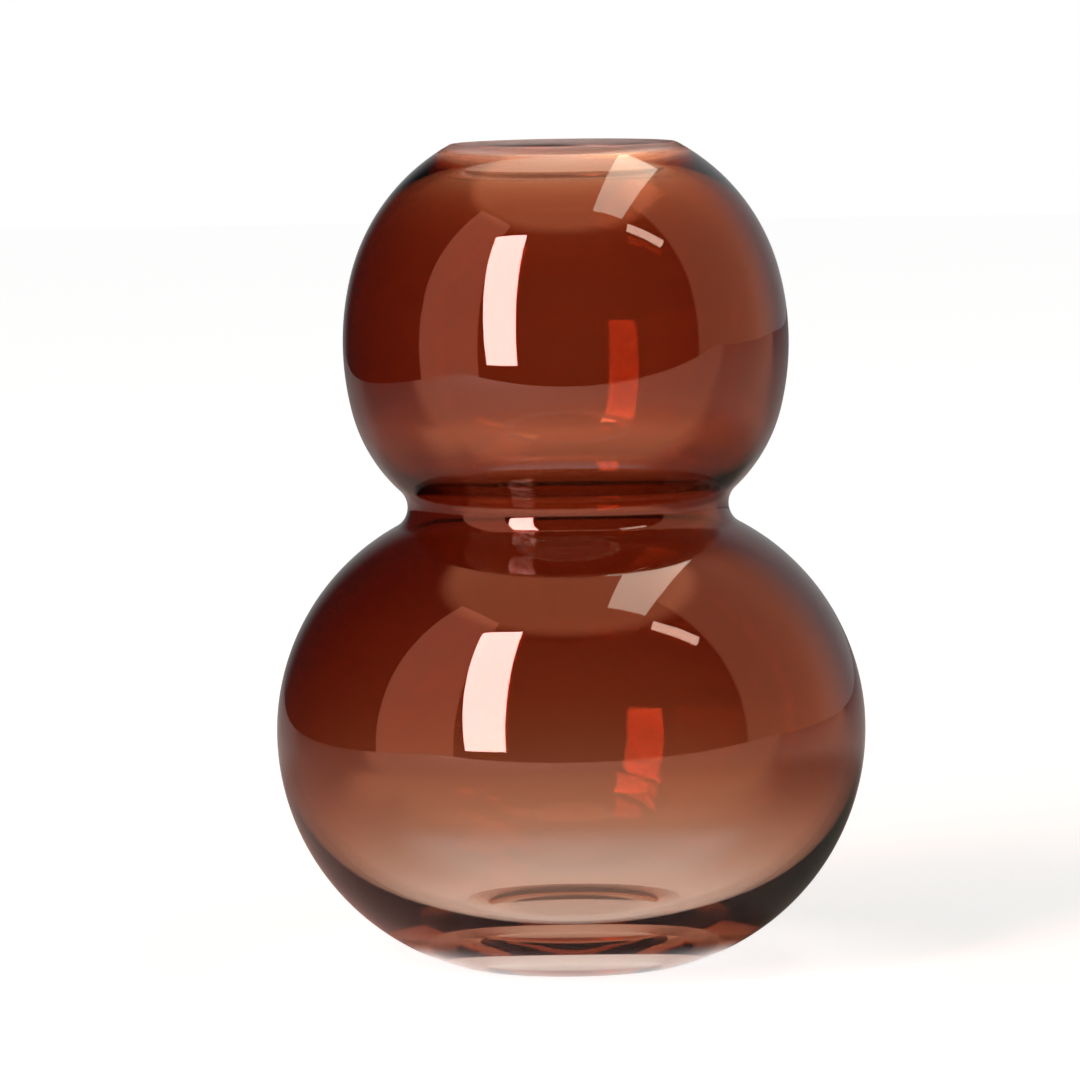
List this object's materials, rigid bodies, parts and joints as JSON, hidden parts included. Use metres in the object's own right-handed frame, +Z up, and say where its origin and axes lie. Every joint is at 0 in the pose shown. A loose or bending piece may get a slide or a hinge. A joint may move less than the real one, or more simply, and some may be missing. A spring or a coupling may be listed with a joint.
{
  "type": "gourd vase",
  "caption": "Gourd-shaped vase of cased glass: a wide lower bulb, a narrow waist and a smaller upper bulb with a small round mouth, red-brown inside a clear outer layer.",
  "frame": {"origin": "centre of the foot ring, on the surface that the vase stands on", "axes": "+Z up along the vase's axis, through the middle of the mouth; X and Y are level and, on a round vase, free to choose"},
  "size_m": [0.1436, 0.1436, 0.2],
  "materials": {
    "clear_glass": "gloss",
    "tinted_glass": "gloss"
  },
  "bodies": {
    "root": {"clear_casing": "clear_glass", "tinted_lining": "tinted_glass"}
  },
  "joints": []
}
